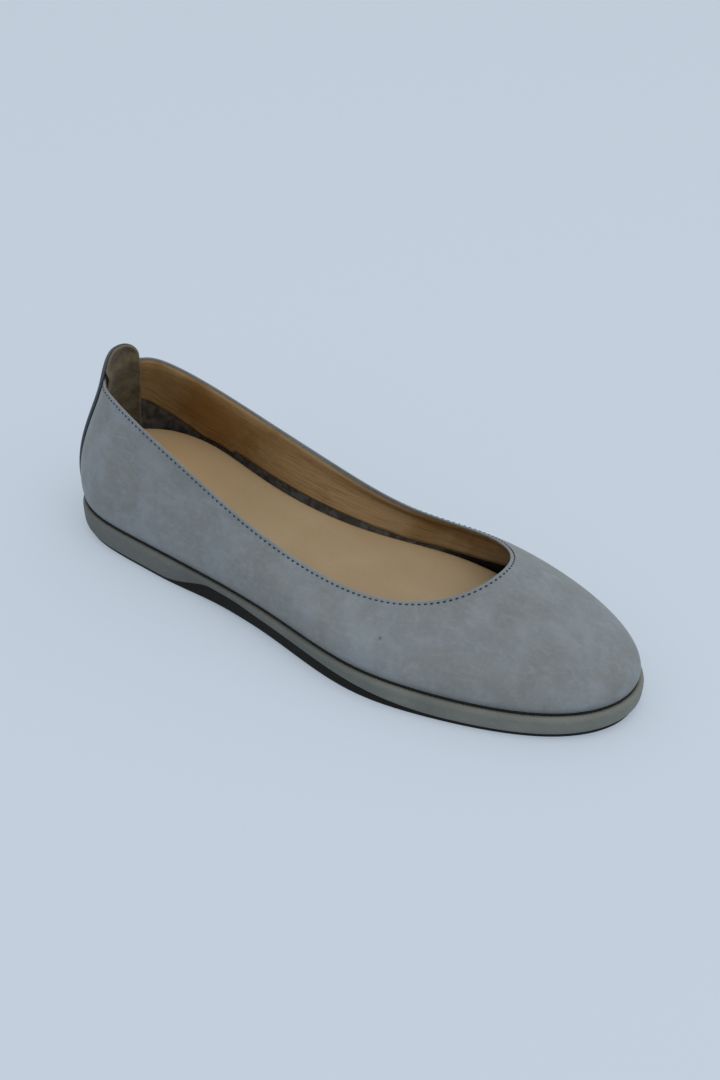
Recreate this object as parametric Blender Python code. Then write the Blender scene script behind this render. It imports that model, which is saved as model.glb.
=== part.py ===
"""Ballet flat, the right shoe of a pair, built the way the real one is put together.

A moulded unit sole carries a thin dark welt strip. The one-piece upper is a hollow wall lasted
over it, open at the topline and underneath, and the footbed fills the bottom of it. A backstay
with its pull tab covers the back seam outside, and a heel grip covers it inside.

Metres, +Z up. The toe points to -Y and the outer side of the foot is -X. The origin is on the
floor, under the middle of the shoe.
"""

import bpy
import numpy as np

# Driving dimensions of the last's bottom edge, where upper and sole meet
FEATHER_LENGTH = 0.2446
BALL_WIDTH = 0.0870

# Driving dimensions of the sole
HEEL_HEIGHT = 0.0120
FOREFOOT_HEIGHT = 0.0091
TOE_SPRING = 0.0008
ARCH_LIFT = 0.0016
RIM = 0.0019
HEEL_TUCK = 0.0012
TREAD_INSET = 0.0017
TREAD_LIP = 0.0018
TREAD_STEP = 0.0004
WAIST_BAND = 0.0025

# Driving dimensions of the welt and the footbed
WELT_THICKNESS = 0.0010
WELT_WIDTH = 0.0040
FOOTBED_HEEL = 0.0155
FOOTBED_TOE = 0.0026
FOOTBED_CUP = 0.0012
FOOTBED_EDGE = 0.0005
FOOTBED_INSET = 0.0060

# Driving dimensions of the upper
WALL = 0.0017
BACK_RISE = 0.0494
SIDE_RISE = 0.0217
THROAT_RISE = 0.0334
VAMP_LENGTH = 0.0545
BACK_LEAN = 0.0052
COLLAR_WIDTH = 0.0620
EDGE_ROUND = 0.0006

# Driving dimensions of the backstay and the heel grip, which meet in the tab
STAY_WIDTH = 0.0300
TAB_WIDTH = 0.0212
GRIP_WIDTH = 0.0376
STAY_THICKNESS = 0.0012
STAY_START = 0.0016
STAY_CORNER = 0.0040
TAB_RISE = 0.0106
TAB_CORNER = 0.0098
TAB_BLEND = 0.0035
GRIP_THICKNESS = 0.0010

# Clearance between pieces that meet
GAP = 0.0003

# How far a spline between level rows may swing past them, as a share
SWING = 0.02

# How far along the sole the tuck under the heel fades out, and how far in from the footbed's
# edge its cup begins, as shares of the length and of the half width
TUCK_REACH = 0.22
CUP_START = 0.25

# Facets
AROUND = 88
UPPER_ROWS = 13
STAY_STEPS = 10
CORNER_STEPS = 5
STAY_COLUMNS = 10
FINE = 720

# The feather line, where upper and sole meet, seen from above.
# station: share of its length from the heel; middle and half: shares of half the ball width
FEATHER = {
    "station": (0.0555, 0.1786, 0.3327, 0.4867, 0.6408, 0.7745, 0.8765, 0.9490),
    "middle": (0.085, 0.040, -0.080, -0.098, -0.020, 0.060, 0.105, 0.120),
    "half": (0.560, 0.662, 0.625, 0.745, 0.978, 0.950, 0.800, 0.565),
}

# The heights along the sole.
# rise: 1 for the heel's height, 0 for the forefoot's; spring: share of the toe spring;
# band: 0 where the side band reaches down to the tread's lip, 1 where it is the waist band;
# arch: share of the arch lift; rim: share of the rim
SOLE_HEIGHTS = {
    "station": (0.0, 0.10, 0.20, 0.26, 0.30, 0.34, 0.42, 0.50, 0.60, 0.70, 0.80, 0.90, 1.0),
    "rise": (1.0, 0.86, 0.71, 0.66, 0.65, 0.65, 0.62, 0.55, 0.46, 0.26, 0.05, 0.0, 0.0),
    "spring": (0.0, 0.0, 0.0, 0.0, 0.0, 0.0, 0.0, 0.0, 0.0, 0.0, 0.0, 0.16, 1.0),
    "band": (0.0, 0.0, 0.0, 0.13, 0.58, 1.0, 0.90, 0.79, 0.62, 0.23, 0.0, 0.0, 0.0),
    "arch": (0.0, 0.0, 0.0, 0.12, 0.48, 0.84, 1.0, 0.75, 0.27, 0.0, 0.0, 0.0, 0.0),
    "rim": (0.50, 0.70, 0.85, 0.85, 0.80, 0.75, 0.80, 0.95, 1.0, 1.0, 0.95, 0.85, 1.0),
}

# The topline, seen from above and in height.
# way: share of half a turn from the back to the throat; middle and half: shares of half the
# collar width; back and throat: shares of the rise at the back and at the throat
TOPLINE = {
    "way": (0.125, 0.1875, 0.25, 0.375, 0.50, 0.625, 0.75, 0.875),
    "middle": (0.165, 0.130, 0.090, 0.045, 0.040, 0.073, 0.177, 0.105),
    "half": (0.435, 0.570, 0.675, 0.790, 0.895, 0.994, 0.995, 0.563),
}
TOPLINE_RISE = {
    "way": (0.0, 0.125, 0.25, 0.375, 0.50, 0.625, 0.75, 0.875, 1.0),
    "outer_back": (1.0, 1.01, 0.967, 0.655, 0.240, 0.01, 0.0, 0.0, 0.0),
    "inner_back": (1.0, 1.09, 0.975, 0.695, 0.305, 0.00, 0.0, 0.0, 0.0),
    "outer_throat": (0.0, 0.0, 0.0, 0.0, 0.0, 0.0, 0.07, 0.60, 1.0),
    "inner_throat": (0.0, 0.0, 0.0, 0.0, 0.0, 0.0, -0.07, 0.62, 1.0),
}

# The wall between feather line and topline is a row of ribs, each one a cubic curve.
# way: share of half a turn from heel to toe; low_rise and low_out: its lower handle, high_drop
# and high_out: its upper handle, as shares of the back's rise
RIBS = {
    "way": (0.0, 0.125, 0.25, 0.375, 0.50, 0.625, 0.75, 0.875, 1.0),
    "low_rise": (0.34, 0.34, 0.34, 0.32, 0.26, 0.22, 0.22, 0.23, 0.25),
    "low_out": (0.125, 0.115, 0.085, 0.050, 0.030, 0.035, 0.050, 0.065, 0.070),
    "high_drop": (0.30, 0.30, 0.30, 0.30, 0.22, 0.15, 0.12, 0.14, 0.16),
    "high_out": (0.060, 0.062, 0.060, 0.040, 0.070, 0.150, 0.240, 0.320, 0.380),
}

# The footbed: its rings' shares of its thickness, and its thickness along the shoe.
# rise: 1 for its thickness at the heel, 0 for that at the toe
FOOTBED_LEVELS = (0.35, 0.70, 1.0)
FOOTBED = {
    "station": (0.0, 0.10, 0.20, 0.30, 0.45, 0.60, 0.75, 0.90, 1.0),
    "rise": (1.0, 1.0, 0.97, 0.81, 0.48, 0.19, 0.04, 0.0, 0.0),
}
# way: share of half a turn from the back to the toe; share: of the footbed's largest inset
FOOTBED_OUTLINE = {
    "way": (0.0, 0.125, 0.25, 0.375, 0.50, 0.5625, 0.625, 0.75, 1.0),
    "share": (0.33, 0.36, 0.21, 0.24, 0.32, 0.40, 0.78, 1.0, 0.60),
}

# The wall of the sole, a row for each ring from the tread up.
# level: share of the band's height; out: share of the rim; tuck: share of the heel's tuck
SOLE_WALL = {
    "level": (0.0, 0.12, 0.32, 0.60, 0.88, 1.0),
    "out": (0.25, 0.70, 0.96, 1.0, 0.88, 0.50),
    "tuck": (1.0, 0.80, 0.55, 0.27, 0.06, 0.0),
}

COLOURS = {
    "outsole": (0.150, 0.153, 0.140),
    "welt": (0.012, 0.012, 0.013),
    "insole": (0.420, 0.285, 0.170),
    "upper": (0.270, 0.270, 0.262),
    "backstay": (0.200, 0.215, 0.235),
    "heel_grip": (0.150, 0.125, 0.080),
}
ROUGHNESS = {
    "outsole": 0.65,
    "welt": 0.50,
    "insole": 0.45,
    "upper": 0.90,
    "backstay": 0.85,
    "heel_grip": 0.90,
}

HALF_BALL = BALL_WIDTH / 2
HALF_COLLAR = COLLAR_WIDTH / 2
UPPER_SEAT = GAP + WELT_THICKNESS + GAP


def spline(knots, values, at):
    """A natural cubic spline through the knots, read at any array of places."""
    knots = np.asarray(knots, float)
    values = np.asarray(values, float)
    step = np.diff(knots)
    count = len(knots)
    matrix = np.eye(count)
    right = np.zeros(count)
    inner = np.arange(1, count - 1)
    matrix[inner, inner - 1] = step[:-1]
    matrix[inner, inner] = 2 * (step[:-1] + step[1:])
    matrix[inner, inner + 1] = step[1:]
    slope = np.diff(values) / step
    right[1:-1] = 6 * np.diff(slope)
    bend = np.linalg.solve(matrix, right)
    at = np.clip(at, knots[0], knots[-1])
    k = np.clip(np.searchsorted(knots, at) - 1, 0, count - 2)
    a = knots[k + 1] - at
    b = at - knots[k]
    h = step[k]
    return (
        (bend[k] * a**3 + bend[k + 1] * b**3) / (6 * h)
        + (values[k] / h - bend[k] * h / 6) * a
        + (values[k + 1] / h - bend[k + 1] * h / 6) * b
    )


def mirrored_spline(knots, values, at, end):
    """A spline of an angle that is even about 0 and about end, so it runs smoothly past both."""
    knots = np.asarray(knots, float)
    values = np.asarray(values, float)
    inner = (knots > 0) & (knots < end)
    before = -knots[inner][::-1]
    after = 2 * end - knots[inner][::-1]
    mirrored = values[inner][::-1]
    all_knots = np.concatenate([before, knots, after])
    all_values = np.concatenate([mirrored, values, mirrored])
    return spline(all_knots, all_values, at)


def column(table, name, at):
    """A column of a table by station, held level beyond its ends."""
    knots = np.asarray(table["station"])
    angle = np.arccos(1 - 2 * np.clip(at, 0, 1))
    return mirrored_spline(np.arccos(1 - 2 * knots), table[name], angle, np.pi)


def turn(angle):
    """The angle round the outline folded into 0 at the heel to pi at the toe."""
    return np.abs((angle + np.pi) % (2 * np.pi) - np.pi)


def side(angle):
    """-1 along the outer side of the foot and 1 along the inner side."""
    return np.where(np.sin(angle) > 0, -1.0, 1.0)


def station_of(y):
    """The share of the feather line's length from the heel, at a place along the shoe."""
    return (FEATHER_LENGTH / 2 - y) / FEATHER_LENGTH


def sole_top(y):
    at = station_of(y)
    level = FOREFOOT_HEIGHT + (HEEL_HEIGHT - FOREFOOT_HEIGHT) * column(SOLE_HEIGHTS, "rise", at)
    return level + TOE_SPRING * column(SOLE_HEIGHTS, "spring", at)


def heights(y, name):
    """A share column of the sole's heights, level at 0 and 1 in spite of the spline's swing."""
    share = column(SOLE_HEIGHTS, name, station_of(y))
    return np.clip((share - SWING) / (1 - 2 * SWING), 0, 1)


def sole_bottom(y):
    return ARCH_LIFT * heights(y, "arch") + TOE_SPRING * heights(y, "spring")


def feather_line(angle, out=0.0):
    """The edge between upper and sole, moved out sideways by a distance: x and y by angle."""
    fold = turn(angle)
    knots = np.arccos(1 - 2 * np.asarray(FEATHER["station"]))
    fullness = np.asarray(FEATHER["half"]) / np.sin(knots)
    half = HALF_BALL * mirrored_spline(knots, fullness, fold, np.pi) * np.sin(fold)
    middle = HALF_BALL * mirrored_spline(knots, FEATHER["middle"], fold, np.pi)
    x = middle + side(angle) * half
    y = FEATHER_LENGTH / 2 * np.cos(fold)
    return push_out(x, y, out)


def push_out(x, y, out):
    """Moves a closed outline along its own normals in the plan."""
    dx = np.roll(x, -1) - np.roll(x, 1)
    dy = np.roll(y, -1) - np.roll(y, 1)
    length = np.hypot(dx, dy)
    return x + out * dy / length, y - out * dx / length


def topline(angle):
    """The upper edge of the upper: x, y and z by angle."""
    fold = turn(angle)
    knots = np.pi * np.asarray(TOPLINE["way"])
    fullness = np.asarray(TOPLINE["half"]) / np.sin(knots)
    half = HALF_COLLAR * mirrored_spline(knots, fullness, fold, np.pi) * np.sin(fold)
    middle = HALF_COLLAR * mirrored_spline(knots, TOPLINE["middle"], fold, np.pi)
    back = FEATHER_LENGTH / 2 - BACK_LEAN
    throat = -FEATHER_LENGTH / 2 + VAMP_LENGTH
    y = (back + throat) / 2 + (back - throat) / 2 * np.cos(fold)
    ways = np.pi * np.asarray(TOPLINE_RISE["way"])

    def rise(name):
        outer = mirrored_spline(ways, TOPLINE_RISE["outer_" + name], fold, np.pi)
        inner = mirrored_spline(ways, TOPLINE_RISE["inner_" + name], fold, np.pi)
        return np.where(side(angle) < 0, outer, inner)

    z = sole_top(y) + SIDE_RISE
    z = z + (BACK_RISE - SIDE_RISE) * rise("back") + (THROAT_RISE - SIDE_RISE) * rise("throat")
    return np.stack([middle + side(angle) * half, y, z], -1)


def outward(points):
    """Unit normals of a closed outline in the plan, as vectors."""
    x, y = push_out(points[..., 0], points[..., 1], 1.0)
    return np.stack([x - points[..., 0], y - points[..., 1], np.zeros_like(x)], -1)


def ribs(angle):
    """The four control points of each rib of the upper, from feather line to topline."""
    fold = turn(angle)
    ways = np.pi * np.asarray(RIBS["way"])
    x, y = feather_line(angle)
    low = np.stack([x, y, sole_top(y) + UPPER_SEAT], -1)
    high = topline(angle)
    up = np.array([0.0, 0.0, 1.0])

    def share(name):
        return BACK_RISE * mirrored_spline(ways, RIBS[name], fold, np.pi)[:, None]

    low_handle = low + share("low_rise") * up + share("low_out") * outward(low)
    high_handle = high - share("high_drop") * up + share("high_out") * outward(high)
    return low, low_handle, high_handle, high


def upper_surface(angle, rows):
    """The outer face of the upper: a grid of rows from feather line to topline, by angle."""
    a, b, c, d = ribs(angle)
    t = np.asarray(rows, float)[:, None, None]
    return a * (1 - t) ** 3 + 3 * b * t * (1 - t) ** 2 + 3 * c * t**2 * (1 - t) + d * t**3


def unit(vectors):
    return vectors / np.linalg.norm(vectors, axis=-1, keepdims=True)


def upper_slope(angle, rows):
    """Unit vectors up the ribs of the upper's outer face."""
    a, b, c, d = ribs(angle)
    t = np.asarray(rows, float)[:, None, None]
    return unit((b - a) * (1 - t) ** 2 + 2 * (c - b) * t * (1 - t) + (d - c) * t**2)


def upper_normals(angle, rows):
    """Unit normals of the upper's outer face, facing out of the shoe."""
    grid = upper_surface(angle, rows)
    along = np.roll(grid, -1, axis=1) - np.roll(grid, 1, axis=1)
    return unit(np.cross(along, upper_slope(angle, rows)))


def shell(angle, rows, depth):
    """The face that lies a depth inside the outer face of the upper."""
    return upper_surface(angle, rows) - depth * upper_normals(angle, rows)


def full_turn():
    """Angles round the outline, even about the heel and the toe."""
    return np.linspace(0, 2 * np.pi, AROUND, endpoint=False)


def ring_faces(rings, count, joined):
    """Quads between neighbouring rings of points; joined closes the last ring on the first."""
    ring = np.arange(rings if joined else rings - 1)[:, None]
    k = np.arange(count)[None, :]
    below = ring * count
    above = (ring + 1) % rings * count
    step = (k + 1) % count
    quads = np.stack([below + k, below + step, above + step, above + k], -1)
    return quads.reshape(-1, 4).tolist()


def ladder(first, count, flip):
    """Faces across a ring whose points pair up from side to side, with a point at each end."""
    k = np.arange(1, count // 2 - 1)
    rungs = np.stack([first + k, first + k + 1, first + count - k - 1, first + count - k], -1)
    faces = rungs.tolist()
    faces.append([first, first + 1, first + count - 1])
    half = first + count // 2
    faces.append([half, half + 1, half - 1])
    return [face[::-1] for face in faces] if flip else faces


def add_piece(name, points, faces):
    """One closed mesh object with its own material."""
    mesh = bpy.data.meshes.new(name)
    mesh.from_pydata(np.asarray(points).reshape(-1, 3).tolist(), [], faces)
    mesh.validate()
    mesh.shade_smooth()
    mesh.set_sharp_from_angle(angle=np.radians(40))
    material = bpy.data.materials.new(name)
    material.use_nodes = True
    shader = material.node_tree.nodes["Principled BSDF"]
    shader.inputs["Base Color"].default_value = (*COLOURS[name], 1.0)
    shader.inputs["Roughness"].default_value = ROUGHNESS[name]
    mesh.materials.append(material)
    piece = bpy.data.objects.new(name, mesh)
    bpy.context.scene.collection.objects.link(piece)
    return piece


def solid_stack(name, rings):
    """A solid of rings from its underside to its top, capped at both ends by ladders."""
    rings = np.asarray(rings)
    count = rings.shape[1]
    faces = ring_faces(len(rings), count, False)
    faces += ladder(0, count, True)
    faces += ladder((len(rings) - 1) * count, count, False)
    return add_piece(name, rings, faces)


def hollow_wall(name, rings):
    """A wall closed on itself: rings up its outer face and down its inner one."""
    rings = np.asarray(rings)
    faces = ring_faces(len(rings), rings.shape[1], True)
    return add_piece(name, rings, faces)


def sole_ring(angle, out, height):
    """A ring of the sole: moved out from the feather line, at a height for each angle."""
    x, y = feather_line(angle, out)
    return np.stack([x, y, height], -1)


def band_bottom(y):
    """The lower edge of the sole's side band, above the tread."""
    high = sole_top(y) - WAIST_BAND
    low = TREAD_LIP + TOE_SPRING * heights(y, "spring")
    return low + (high - low) * heights(y, "band")


def make_outsole():
    """The tread, set in under the side band, which bulges out to the rim."""
    angle = full_turn()
    y = feather_line(angle)[1]
    tuck = HEEL_TUCK * np.clip(1 - station_of(y) / TUCK_REACH, 0, 1)
    rim = RIM * heights(y, "rim")
    tread = rim - TREAD_INSET - tuck
    low = band_bottom(y)
    rings = [
        sole_ring(angle, tread - TREAD_INSET, sole_bottom(y)),
        sole_ring(angle, tread, sole_bottom(y)),
        sole_ring(angle, tread + TREAD_STEP, low - TREAD_STEP),
    ]
    for level, out, share in zip(*(SOLE_WALL[name] for name in ("level", "out", "tuck"))):
        height = low + (sole_top(y) - low) * level
        rings.append(sole_ring(angle, rim * out - tuck * share, height))
    rings.append(sole_ring(angle, -WELT_WIDTH, sole_top(y)))
    return solid_stack("outsole", rings)


def make_welt():
    """A flat strip on the sole's top edge, flush with the feather line."""
    angle = full_turn()
    base = sole_top(feather_line(angle)[1]) + GAP
    top = base + WELT_THICKNESS
    rings = [
        sole_ring(angle, 0.0, base),
        sole_ring(angle, 0.0, top),
        sole_ring(angle, -WELT_WIDTH, top),
        sole_ring(angle, -WELT_WIDTH, base),
    ]
    return hollow_wall("welt", rings)


def make_upper():
    """The hollow wall, with a rounded edge along the topline and open underneath."""
    angle = full_turn()
    rows = np.linspace(0, 1, UPPER_ROWS)
    outer = upper_surface(angle, rows)
    inner = shell(angle, rows, WALL)
    inner[0, :, 2] = outer[0, :, 2]
    middle = (outer[-1] + inner[-1]) / 2
    edge = middle + EDGE_ROUND * upper_slope(angle, [1.0])[0]
    return hollow_wall("upper", [*outer, edge, *inner[::-1]])


def inside_ring(angle, depth, height):
    """A ring on the shell at a depth inside the upper, at a height for each angle."""
    grid = shell(angle, np.linspace(0, 1, FINE // 8), depth)
    points = np.empty((len(angle), 3))
    for k, z in enumerate(height):
        column_z = grid[:, k, 2]
        points[k] = [np.interp(z, column_z, grid[:, k, axis]) for axis in (0, 1)] + [z]
    return points


def footbed_bottom(y):
    return sole_top(y) + UPPER_SEAT


def footbed_top(y):
    share = column(FOOTBED, "rise", station_of(y))
    return footbed_bottom(y) + FOOTBED_TOE + (FOOTBED_HEEL - FOOTBED_TOE) * share


def footbed_inset(angle):
    """How far the footbed's edge stands in from the wall of the upper, by angle."""
    ways = np.pi * np.asarray(FOOTBED_OUTLINE["way"])
    return FOOTBED_INSET * mirrored_spline(ways, FOOTBED_OUTLINE["share"], turn(angle), np.pi)


def make_insole():
    """The footbed lies in the bottom of the upper, and its top is cupped along the middle."""
    angle = full_turn()
    depth = WALL + GAP + footbed_inset(angle)[:, None]
    y = feather_line(angle)[1]
    low = footbed_bottom(y)
    high = footbed_top(y)
    rings = [inside_ring(angle, depth + FOOTBED_EDGE, low)]
    for share in FOOTBED_LEVELS:
        rings.append(inside_ring(angle, depth, low + (high - low) * share))
    edge = rings[-1]
    cup = edge.copy()
    cup[:, 0] += CUP_START * (centre_line(edge) - edge[:, 0])
    cup[:, 2] -= FOOTBED_CUP
    rings.append(cup)
    return solid_stack("insole", rings)


def centre_line(ring):
    """The x halfway across a ring, at each of its points."""
    half = len(ring) // 2
    across = (ring + np.roll(ring[::-1], 1, axis=0)) / 2
    y, x = across[: half + 1, 1], across[: half + 1, 0]
    return np.interp(ring[:, 1], y[::-1], x[::-1])


def heel_patch(halves, rows, beyond, offsets):
    """A grid on the back of the upper, centred on its back seam.

    One row for each share of the height in rows, with its half width in halves, moved off the
    outer face by its offset. Past the topline a row goes on along the surface's own slope by
    its distance in beyond.
    """
    angle = np.linspace(-np.pi, np.pi, FINE, endpoint=False)
    grid = upper_surface(angle, rows)
    normals = upper_normals(angle, rows)
    slope = upper_slope(angle, [1.0])[0]
    back = np.abs(angle) < np.pi / 4
    centre = np.argmin(np.abs(angle))
    patch = []
    for k, half in enumerate(halves):
        place = grid[k] + beyond[k] * slope + offsets[k] * normals[k]
        across = grid[k, centre, 0] + half * np.linspace(1, -1, STAY_COLUMNS + 1)
        x = grid[k, back, 0][::-1]
        patch.append(np.stack([np.interp(across, x, place[back, a][::-1]) for a in range(3)], -1))
    return np.array(patch)


def corner_distances(radius):
    """Steps from the end of a strip through its rounded corner."""
    return radius * (1 - np.cos(np.linspace(0, np.pi / 2, CORNER_STEPS)))


def corner_loss(distance, radius):
    """How much narrower each side is at a distance from an end with rounded corners."""
    return radius * (1 - np.sqrt(1 - (1 - np.clip(distance / radius, 0, 1)) ** 2))


def strip_rows(start, width, square):
    """Rows of a strip up the back seam: shares of the rib, lengths past it and half widths.

    start is the length along the seam where the strip begins, and a square strip has no
    corners there. The strip narrows evenly from its width there to the tab's at the topline.
    """
    fine = np.linspace(0, 1, FINE)
    seam = upper_surface(full_turn(), fine)[:, 0]
    along = np.concatenate([[0], np.cumsum(np.linalg.norm(np.diff(seam, axis=0), axis=1))])
    end = along[-1] + TAB_RISE
    first = start + (np.zeros(1) if square else corner_distances(STAY_CORNER))
    last = end - corner_distances(TAB_CORNER)[::-1]
    middle = np.linspace(first[-1], last[0], STAY_STEPS + 1)[1:-1]
    place = np.concatenate([first, middle, last])
    half = np.interp(place, [start, along[-1]], [width / 2, TAB_WIDTH / 2])
    half = half - corner_loss(end - place, TAB_CORNER)
    if not square:
        half = half - corner_loss(place - start, STAY_CORNER)
    rows = np.interp(place, along, fine)
    beyond = np.maximum(place - along[-1], 0)
    return rows, beyond, half


def tab_share(beyond):
    """0 up to the topline's rounded edge and 1 where the tab's two layers lie together."""
    share = np.clip((beyond - EDGE_ROUND - GAP) / TAB_BLEND, 0, 1)
    return share**2 * (3 - 2 * share)


def strip_solid(name, inner, outer):
    """A solid between two grids of the same size, the outer one facing out of the shoe."""
    rows, columns = inner.shape[:2]
    lower = np.arange(rows * columns).reshape(rows, columns)
    upper = lower + rows * columns
    faces = []
    for r in range(rows - 1):
        for c in range(columns - 1):
            quad = [(r, c), (r, c + 1), (r + 1, c + 1), (r + 1, c)]
            faces.append([int(upper[at]) for at in quad])
            faces.append([int(lower[at]) for at in reversed(quad)])
    rim = [(0, c) for c in range(columns)]
    rim += [(r, columns - 1) for r in range(1, rows)]
    rim += [(rows - 1, c) for c in range(columns - 2, -1, -1)]
    rim += [(r, 0) for r in range(rows - 2, 0, -1)]
    for here, there in zip(rim, rim[1:] + rim[:1]):
        faces.append([int(upper[there]), int(upper[here]), int(lower[here]), int(lower[there])])
    return add_piece(name, np.concatenate([inner, outer]), faces)


def make_backstay():
    rows, beyond, half = strip_rows(STAY_START, STAY_WIDTH, False)
    low = np.full(len(rows), GAP)
    inner = heel_patch(half, rows, beyond, low)
    outer = heel_patch(half, rows, beyond, low + STAY_THICKNESS)
    return strip_solid("backstay", inner, outer)


def make_heel_grip():
    seam = upper_surface(full_turn(), np.linspace(0, 1, FINE))[:, 0]
    start = footbed_top(seam[0, 1]) + 2 * GAP - seam[0, 2]
    rows, beyond, half = strip_rows(start, GRIP_WIDTH, True)
    high = (WALL + GAP) * (tab_share(beyond) - 1)
    inner = heel_patch(half, rows, beyond, high - GRIP_THICKNESS)
    outer = heel_patch(half, rows, beyond, high)
    return strip_solid("heel_grip", inner, outer)


def put_origin_under_middle(pieces):
    """Moves all pieces in the plan, so that the origin lies under the middle of their box."""
    points = np.array([vertex.co for piece in pieces for vertex in piece.data.vertices])
    middle = (points.min(axis=0) + points.max(axis=0)) / 2
    for piece in pieces:
        piece.location = (-middle[0], -middle[1], 0.0)


def main():
    for old in list(bpy.data.objects):
        bpy.data.objects.remove(old, do_unlink=True)
    pieces = [make_outsole(), make_welt(), make_insole(), make_upper()]
    pieces += [make_backstay(), make_heel_grip()]
    put_origin_under_middle(pieces)


main()
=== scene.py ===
"""A right ballet flat in light grey nubuck, dressed over its CAD solids.

The shoe stands empty and unbent on the floor. It follows the order of making: the moulded sole,
the welt strip, the footbed, the upper with its lining and topline stitches, then the backstay
and the heel grip that meet in the pull tab. Metres, +Z up, toe towards -Y, outer side -X.
"""

import bpy
import numpy as np
from mathutils import Matrix, Vector


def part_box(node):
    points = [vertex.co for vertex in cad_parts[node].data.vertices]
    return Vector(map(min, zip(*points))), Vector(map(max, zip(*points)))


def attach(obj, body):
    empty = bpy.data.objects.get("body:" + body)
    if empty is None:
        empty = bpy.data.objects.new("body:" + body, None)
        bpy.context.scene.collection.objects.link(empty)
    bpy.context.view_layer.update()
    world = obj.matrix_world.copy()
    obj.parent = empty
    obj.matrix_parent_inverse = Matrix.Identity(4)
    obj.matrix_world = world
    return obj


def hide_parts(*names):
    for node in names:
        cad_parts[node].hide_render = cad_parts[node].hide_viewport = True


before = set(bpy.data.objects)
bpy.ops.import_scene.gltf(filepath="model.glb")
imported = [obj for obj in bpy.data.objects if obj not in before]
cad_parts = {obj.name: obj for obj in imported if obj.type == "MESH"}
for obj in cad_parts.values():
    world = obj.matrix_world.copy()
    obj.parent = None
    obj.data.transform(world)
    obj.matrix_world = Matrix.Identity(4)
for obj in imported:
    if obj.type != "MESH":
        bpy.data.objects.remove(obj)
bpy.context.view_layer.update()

# Camera. It has the photo's angle and roll, ahead of the toe on the outer side. It is aimed at
# the middle of the one shoe and drawn in until the shoe fills the frame.
EYE = Vector((-0.51774, -0.33036, 0.42093))
AIM = Vector((0.00335, -0.00593, 0.0300))
PHOTO_RIGHT = Vector((0.53708, -0.84090, 0.06659))
LENS = 63.9
LONG_SIDE = 36.0

back = (EYE - AIM).normalized()
right = (PHOTO_RIGHT - back * PHOTO_RIGHT.dot(back)).normalized()
stand = Matrix((right, back.cross(right), back)).transposed().to_4x4()
stand.translation = EYE
camera = bpy.data.objects.new("camera", bpy.data.cameras.new("camera"))
camera.data.lens = LENS
camera.data.sensor_width = LONG_SIDE
camera.matrix_world = stand
bpy.context.scene.collection.objects.link(camera)
bpy.context.scene.camera = camera


# Floor and light. A plain pale blue-grey table top under a wide, even sky and one large soft
# light overhead, which leaves only a faint shadow along the sole.
def paint(red, green, blue):
    """A colour mixed from the 0 to 255 steps of a screen, as linear light."""
    steps = np.array([red, green, blue]) / 255
    light = np.where(steps < 0.04045, steps / 12.92, ((steps + 0.055) / 1.055) ** 2.4)
    return tuple(float(part) for part in light)


class Field:
    """A value worked out at each point of a surface. Arithmetic on it adds Math nodes."""

    def __init__(self, finish, socket):
        self.finish = finish
        self.socket = socket

    def maths(self, operation, first, second):
        return self.finish.node("ShaderNodeMath", {"operation": operation}, [first, second])

    def __add__(self, other):
        return self.maths("ADD", self, other)

    def __sub__(self, other):
        return self.maths("SUBTRACT", self, other)

    def __rsub__(self, other):
        return self.maths("SUBTRACT", other, self)

    def __mul__(self, other):
        return self.maths("MULTIPLY", self, other)

    def __truediv__(self, other):
        return self.maths("DIVIDE", self, other)


class Finish:
    """A material on the Principled shader, with plain values on its sockets."""

    def __init__(self, name, roughness, colour=(0.5, 0.5, 0.5), **sockets):
        self.material = bpy.data.materials.new(name)
        self.material.use_nodes = True
        self.tree = self.material.node_tree
        self.shader = self.tree.nodes["Principled BSDF"]
        self.set("Roughness", roughness)
        self.set("Base Color", colour)
        for socket, value in sockets.items():
            self.set(socket.replace("_", " "), value)

    def set(self, socket, value):
        self.feed(self.shader.inputs[socket], value)

    def feed(self, socket, value):
        if isinstance(value, Field):
            self.tree.links.new(value.socket, socket)
        elif socket.type == "RGBA":
            socket.default_value = (*value, 1.0)
        else:
            socket.default_value = value

    def node(self, kind, settings, values, out=0):
        """Adds a node of a kind with its settings, and its inputs by number or by name."""
        made = self.tree.nodes.new(kind)
        for name, value in settings.items():
            setattr(made, name, value)
        pairs = values.items() if isinstance(values, dict) else enumerate(values)
        for key, value in pairs:
            self.feed(made.inputs[key], value)
        return Field(self, made.outputs[out])

    def place(self):
        return self.node("ShaderNodeTexCoord", {}, {}, "Object")

    def place_y(self):
        return self.node("ShaderNodeSeparateXYZ", {}, [self.place()], 1)

    def distance(self, point):
        values = {0: self.place(), 1: point}
        return self.node("ShaderNodeVectorMath", {"operation": "DISTANCE"}, values, 1)

    def noise(self, size, detail=2.0, roughness=0.5, place=None, warp=0.0):
        """Noise from 0 to 1 whose lumps are about a size across, in metres."""
        values = {"Vector": place or self.place(), "Scale": 1 / size, "Detail": detail}
        values["Roughness"] = roughness
        values["Distortion"] = warp
        return self.node("ShaderNodeTexNoise", {}, values)

    def between(self, value, low, high):
        """0 below low and 1 above high, with a soft step from one to the other."""
        settings = {"interpolation_type": "SMOOTHSTEP"}
        return self.node("ShaderNodeMapRange", settings, {0: value, 1: low, 2: high})

    def mix(self, share, first, second):
        return self.node("ShaderNodeMix", {"data_type": "RGBA"}, {0: share, 6: first, 7: second}, 2)

    def relief(self, height):
        """Raises the surface by a height in metres, as bump."""
        self.set("Normal", self.node("ShaderNodeBump", {}, {"Height": height, "Distance": 1.0}))

    def mark(self, name):
        """A number that the mesh carries at its points."""
        return self.node("ShaderNodeAttribute", {"attribute_name": name}, {}, "Fac")


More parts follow.
